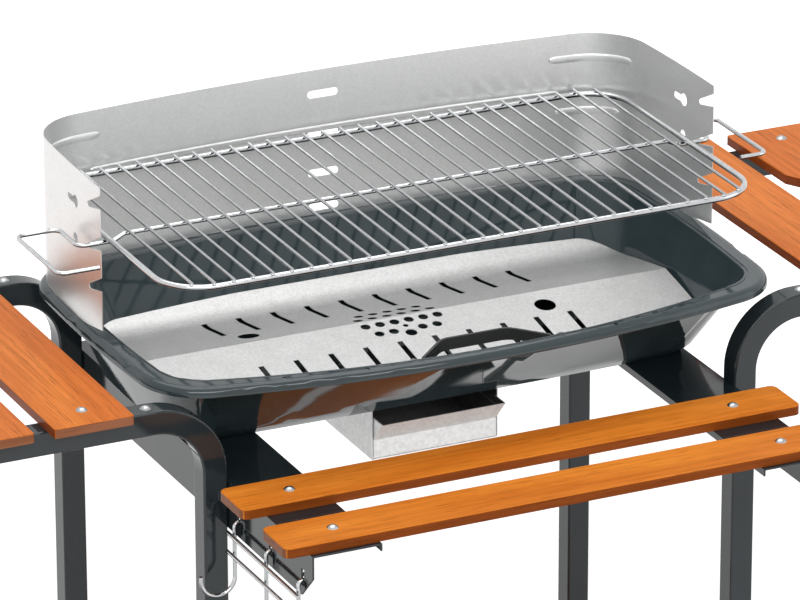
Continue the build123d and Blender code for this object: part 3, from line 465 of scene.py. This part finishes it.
# A dark copy of the zinc for the inner faces: painted shade.
inside_painted_shade_zinc = galvanised_finish("inside_painted_shade_zinc", (0.10, 0.10, 0.10), (0.16, 0.158, 0.155), 300, 0.55, 0.4)
for node in ("ash_box", "ash_drawer"):
    shape = soft_copy(node, BOX_ROUND, 2)
    low, high = (Vector(corner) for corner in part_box(node))
    core = (low + high) / 2
    # Faces that point inwards get the dark zinc, which is painted shade.
    for face in shape.faces:
        spot = face.calc_center_median()
        within = all(low[i] + BOX_SKIN < spot[i] < high[i] - BOX_SKIN for i in range(3))
        if within and (core - spot).dot(face.normal) > 0:
            face.material_index = 1
    piece_for(shape, node + "_folded", node, [box_zinc, inside_painted_shade_zinc])

# Charcoal plate. Galvanised sheet pressed with a ridge and two valleys, punched with slots and holes, with
# fine crystals.
plate_zinc = galvanised_finish("plate_zinc", (0.52, 0.52, 0.515), (0.66, 0.66, 0.655), 620, 0.40, 0.7)
PLATE_ROUND = 0.00025
pressed = soft_copy("charcoal_plate", PLATE_ROUND, 1)
piece_for(pressed, "pressed_plate", "charcoal_plate", [plate_zinc])

# Cooking grid. Bright chromed steel wire: a bent frame, thin bars and a thicker rod that ends in handles.
# Each bar is welded on top of the frame and the rod, and each weld leaves a small bead on both its sides.


def plated_wire(name, above, below):
    """Chromed wire, bright above, with painted shade that darkens it where its faces point down."""
    made = metal_finish(name, above, [value * 1.15 for value in above], 0.09, 120, 0.02)
    tree = made.node_tree
    surface = tree.nodes["Principled BSDF"]
    plating = surface.inputs["Base Color"].links[0].from_node
    # Painted shade: the base colour turns dark on faces that point down.
    faces = tree.nodes.new("ShaderNodeNewGeometry")
    parts = shader(tree, "SeparateXYZ")
    wire(tree, faces, "Normal", parts, "Vector")
    upward = shader(tree, "MapRange", [("From Min", -0.35), ("From Max", 0.25)])
    wire(tree, parts, "Z", upward, "Value")
    painted_underside_shade = shader(tree, "MixRGB", [("Color1", (*below, 1))])
    wire(tree, upward, "Result", painted_underside_shade, "Fac")
    wire(tree, plating, "Color", painted_underside_shade, "Color2")
    wire(tree, painted_underside_shade, "Color", surface, "Base Color")
    return made


# The bars take a darker copy of the same chrome as the frame and rod: painted shade.
chrome = plated_wire("chrome_wire", (0.56, 0.57, 0.58), (0.05, 0.055, 0.06))
bar_chrome_painted_shade = plated_wire("bar_chrome_painted_shade", (0.44, 0.45, 0.46), (0.04, 0.045, 0.05))
for node in ("grid_frame", "grid_rod"):
    paint_node(node, chrome)
paint_node("grid_bars", bar_chrome_painted_shade)

GRID_BARS = 30
BAR_PITCH = 0.0205
GRID_MIDDLE_Y = 0.07575
FRAME_HALF = (0.319, 0.166)      # middle of the frame's wire
FRAME_BEND = 0.048
WELD_Z = 0.8966
WELD_SIZE = (0.0027, 0.0032, 0.0014)
welds = bmesh.new()
for i in range(GRID_BARS):
    x = (i - (GRID_BARS - 1) / 2) * BAR_PITCH
    past = max(0.0, abs(x) - (FRAME_HALF[0] - FRAME_BEND))
    edge = FRAME_HALF[1] - FRAME_BEND + sqrt(FRAME_BEND**2 - past**2)
    for y in (-edge, 0.0, edge):
        lay = Matrix.Translation((x, GRID_MIDDLE_Y + y, WELD_Z)) @ Matrix.Diagonal((*WELD_SIZE, 1))
        bmesh.ops.create_icosphere(welds, subdivisions=1, radius=1.0, matrix=lay)
new_piece(welds, "grid_welds", "grid", [chrome], 60)

# Hook rack. The same chromed wire, bent into three hooks and welded to two rods. Its pins hang in slots of
# the left bar.
for node in ("rack_hooks", "rack_rods"):
    paint_node(node, chrome)

# Wheels. Moulded black plastic wheels with rubber tyres, which have grooves round the tread and blocks on
# the shoulders. They turn on the axle.
tyre_rubber = plastic_finish("tyre_rubber", (0.010, 0.010, 0.010), (0.022, 0.022, 0.023), 0.72, 800, 0.25)
TYRE_SECTION = (                 # half of the section, across and out, from the bead to the middle
    (0.0150, 0.0630), (0.0150, 0.0680), (0.0143, 0.0702), (0.0128, 0.0718), (0.0104, 0.0728),
    (0.0098, 0.0747), (0.0090, 0.0750), (0.0066, 0.0750), (0.0060, 0.0747), (0.0056, 0.0730),
    (0.0042, 0.0730), (0.0038, 0.0747), (0.0032, 0.0750), (0.0, 0.0750),
)
TYRE_STEPS = 96
TYRE_BLOCKS = 36
BLOCK_SIZE = (0.0062, 0.0040, 0.0022)
BLOCK_ACROSS = 0.0121            # a block's place on the shoulder, across and out
BLOCK_OUT = 0.0724
BLOCK_LEAN = 34
BLOCK_ROUND = 0.0004
for end in ("front", "rear"):
    wheel = soft_copy("wheel_" + end, MOULD_ROUND, 2)
    piece_for(wheel, "moulded_wheel_" + end, "wheel_" + end, [black_plastic])
    tyre = bmesh.new()
    corners = [tyre.verts.new((0, across, out)) for across, out in TYRE_SECTION]
    for first, second in zip(corners, corners[1:]):
        tyre.edges.new((first, second))
    bmesh.ops.mirror(tyre, geom=tyre.verts[:] + tyre.edges[:], merge_dist=1e-5, axis="Y")
    bmesh.ops.spin(
        tyre, geom=tyre.edges[:], cent=(0, 0, 0), axis=(0, 1, 0), angle=2 * pi, steps=TYRE_STEPS,
        use_merge=True,
    )
    bmesh.ops.remove_doubles(tyre, verts=tyre.verts, dist=1e-5)
    rims = [edge for edge in tyre.edges if edge.is_boundary]
    bmesh.ops.bridge_loops(tyre, edges=rims)
    bmesh.ops.recalc_face_normals(tyre, faces=tyre.faces)
    for i in range(TYRE_BLOCKS):
        for side in (-1, 1):
            turn = Matrix.Rotation(2 * pi * (i + 0.25 * side) / TYRE_BLOCKS, 4, "Y")
            lean = Matrix.Rotation(radians(-BLOCK_LEAN * side), 4, "X")
            shoulder = Matrix.Translation((0, BLOCK_ACROSS * side, BLOCK_OUT))
            lay = turn @ shoulder @ lean @ Matrix.Diagonal((*BLOCK_SIZE, 1))
            made = bmesh.ops.create_cube(tyre, size=1.0, matrix=lay)
            rim = list({edge for vert in made["verts"] for edge in vert.link_edges})
            bmesh.ops.bevel(
                tyre, geom=rim, offset=BLOCK_ROUND, segments=1, profile=0.5, affect="EDGES", material=-1
            )
    low, high = (Vector(corner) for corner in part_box("tyre_" + end))
    bmesh.ops.translate(tyre, verts=tyre.verts, vec=(low + high) / 2)
    piece_for(tyre, "treaded_tyre_" + end, "tyre_" + end, [tyre_rubber])

# Studio. A pale paper floor that fades into a white surround, three soft box lamps, and a long lens at the
# angle that shows the bowl, the grid and the front shelf.
FLOOR_HALF = 9.0
AMBIENT = 0.28
scene = bpy.context.scene
scene.view_settings.view_transform = "Standard"

world = bpy.data.worlds.new("surround")
scene.world = world
world.use_nodes = True
sky = world.node_tree
for old in list(sky.nodes):
    sky.nodes.remove(old)


def seen_rays(tree):
    """1 for the rays that see the background directly, in gloss or through glass, and 0 for the rest."""
    rays = tree.nodes.new("ShaderNodeLightPath")
    direct = shader(tree, "Math", operation="MAXIMUM")
    wire(tree, rays, "Is Camera Ray", direct, 0)
    wire(tree, rays, "Is Glossy Ray", direct, 1)
    made = shader(tree, "Math", operation="MAXIMUM")
    wire(tree, direct, 0, made, 0)
    wire(tree, rays, "Is Transmission Ray", made, 1)
    return made


ambient = shader(sky, "Background", [("Color", (1, 1, 1, 1)), ("Strength", AMBIENT)])
white = shader(sky, "Background", [("Color", (1, 1, 1, 1)), ("Strength", 1.0)])
choice = sky.nodes.new("ShaderNodeMixShader")
wire(sky, seen_rays(sky), 0, choice, 0)
wire(sky, ambient, 0, choice, 1)
wire(sky, white, 0, choice, 2)
out = sky.nodes.new("ShaderNodeOutputWorld")
wire(sky, choice, 0, out, 0)

ground = bmesh.new()
bmesh.ops.create_grid(ground, x_segments=1, y_segments=1, size=FLOOR_HALF)
ground_mesh = bpy.data.meshes.new("floor")
ground.to_mesh(ground_mesh)
ground.free()
floor = bpy.data.objects.new("floor", ground_mesh)
scene.collection.objects.link(floor)
paper, tree, surface, place = new_finish("floor_paper", [("Roughness", 0.9), ("Specular IOR Level", 0.1)])
tint = ramp(tree, grain(tree, place, 3, 2), "Fac", (0.86, 0.86, 0.86), (0.88, 0.88, 0.88))
wire(tree, tint, "Color", surface, "Base Color")
away = shader(tree, "VectorMath", operation="LENGTH")
wire(tree, place, "Object", away, 0)
glow = shader(tree, "MapRange", [("From Min", 0.7), ("From Max", 2.6), ("To Min", 0.35), ("To Max", 1.0)])
wire(tree, away, "Value", glow, "Value")
lift = shader(tree, "Math", operation="MULTIPLY")
wire(tree, seen_rays(tree), 0, lift, 0)
wire(tree, glow, "Result", lift, 1)
surface.inputs["Emission Color"].default_value = (1, 1, 1, 1)
wire(tree, lift, 0, surface, "Emission Strength")
ground_mesh.materials.append(paper)


def lamp(name, place, target, width, height, watts):
    """A soft box lamp aimed at a point."""
    data = bpy.data.lights.new(name, "AREA")
    data.shape = "RECTANGLE"
    data.size = width
    data.size_y = height
    data.energy = watts
    made = bpy.data.objects.new(name, data)
    scene.collection.objects.link(made)
    aim = Vector(target) - Vector(place)
    made.location = place
    made.rotation_euler = aim.to_track_quat("-Z", "Y").to_euler()
    return made


middle = (0, 0.05, 0.7)
lamp("key", (-0.9, -3.0, 2.9), middle, 4.6, 0.9, 72)
lamp("fill", (2.8, -1.6, 1.9), middle, 2.2, 2.2, 12)
lamp("top", (0.1, 0.6, 3.2), middle, 2.4, 2.4, 40)

AZIMUTH = radians(-25.14)
ELEVATION = radians(21.95)
ROLL = radians(-0.12)
DISTANCE = 6.339
RIM_MIDDLE = Vector((0, 0.08725, 0.800))
SHIFT_RIGHT = 0.0035             # from the rim's middle to the middle of the picture
SHIFT_DOWN = 0.030
SENSOR = 36
LENS = 6296 / 800 * SENSOR
back = Vector((sin(AZIMUTH) * cos(ELEVATION), -cos(AZIMUTH) * cos(ELEVATION), sin(ELEVATION)))
right = Vector((cos(AZIMUTH), sin(AZIMUTH), 0))
up = back.cross(right)
roll = Matrix.Rotation(ROLL, 3, back)
eye = bpy.data.cameras.new("camera")
eye.sensor_width = SENSOR
eye.lens = LENS
eye.clip_end = 60
camera = bpy.data.objects.new("camera", eye)
scene.collection.objects.link(camera)
turn = Matrix((right, up, back)).transposed()
spot = RIM_MIDDLE + back * DISTANCE + right * SHIFT_RIGHT - up * SHIFT_DOWN
camera.matrix_world = Matrix.Translation(spot) @ (roll @ turn).to_4x4()
scene.camera = camera
